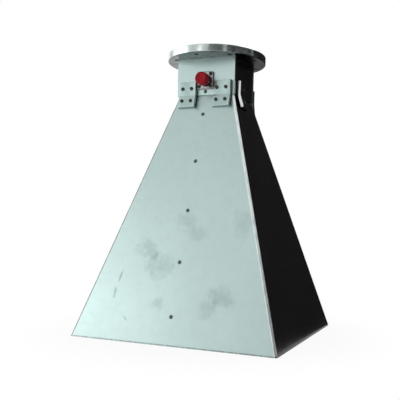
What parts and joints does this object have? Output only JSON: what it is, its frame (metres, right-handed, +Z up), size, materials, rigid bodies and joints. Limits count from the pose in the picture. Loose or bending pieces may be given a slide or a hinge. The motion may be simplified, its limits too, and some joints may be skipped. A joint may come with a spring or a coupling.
{
  "type": "horn antenna",
  "caption": "Double-ridged pyramidal horn antenna standing on its aperture, with a coaxial jack under a red dust cap, ribbed joint brackets and a round mounting flange.",
  "frame": {"origin": "centre of the aperture rim, on the plane the horn stands on", "axes": "+Z up through the feed housing to the mounting flange, -Y out of the face that carries the coaxial jack, +X to the right of that face"},
  "size_m": [0.296, 0.272, 0.408],
  "materials": {
    "bare_aluminium": "satin, bare",
    "black_aluminium": "semi-gloss black",
    "black_steel": "black oxide",
    "nickel_plate": "nickel plated",
    "gold_plate": "gold plated",
    "ptfe": "smooth",
    "red_plastic": "moulded, soft gloss"
  },
  "bodies": {
    "root": {"mounting_flange": "bare_aluminium", "flange_screws": "black_steel", "feed_front_plate": "bare_aluminium", "feed_rear_plate": "bare_aluminium", "feed_left_plate": "black_aluminium", "feed_right_plate": "black_aluminium", "flare_front_panel": "bare_aluminium", "flare_rear_panel": "bare_aluminium", "flare_left_panel": "black_aluminium", "flare_right_panel": "black_aluminium", "front_ridge": "bare_aluminium", "rear_ridge": "bare_aluminium", "front_ridge_screws": "black_steel", "rear_ridge_screws": "black_steel", "front_left_bracket": "bare_aluminium", "front_right_bracket": "bare_aluminium", "rear_left_bracket": "bare_aluminium", "rear_right_bracket": "bare_aluminium", "left_bracket": "bare_aluminium", "right_bracket": "bare_aluminium", "front_bracket_screws": "black_steel", "rear_bracket_screws": "black_steel", "side_bracket_screws": "black_steel", "connector_body": "nickel_plate", "connector_insulator": "ptfe", "feed_pin": "gold_plate", "connector_screws": "black_steel", "dust_cap": "red_plastic"}
  },
  "joints": []
}
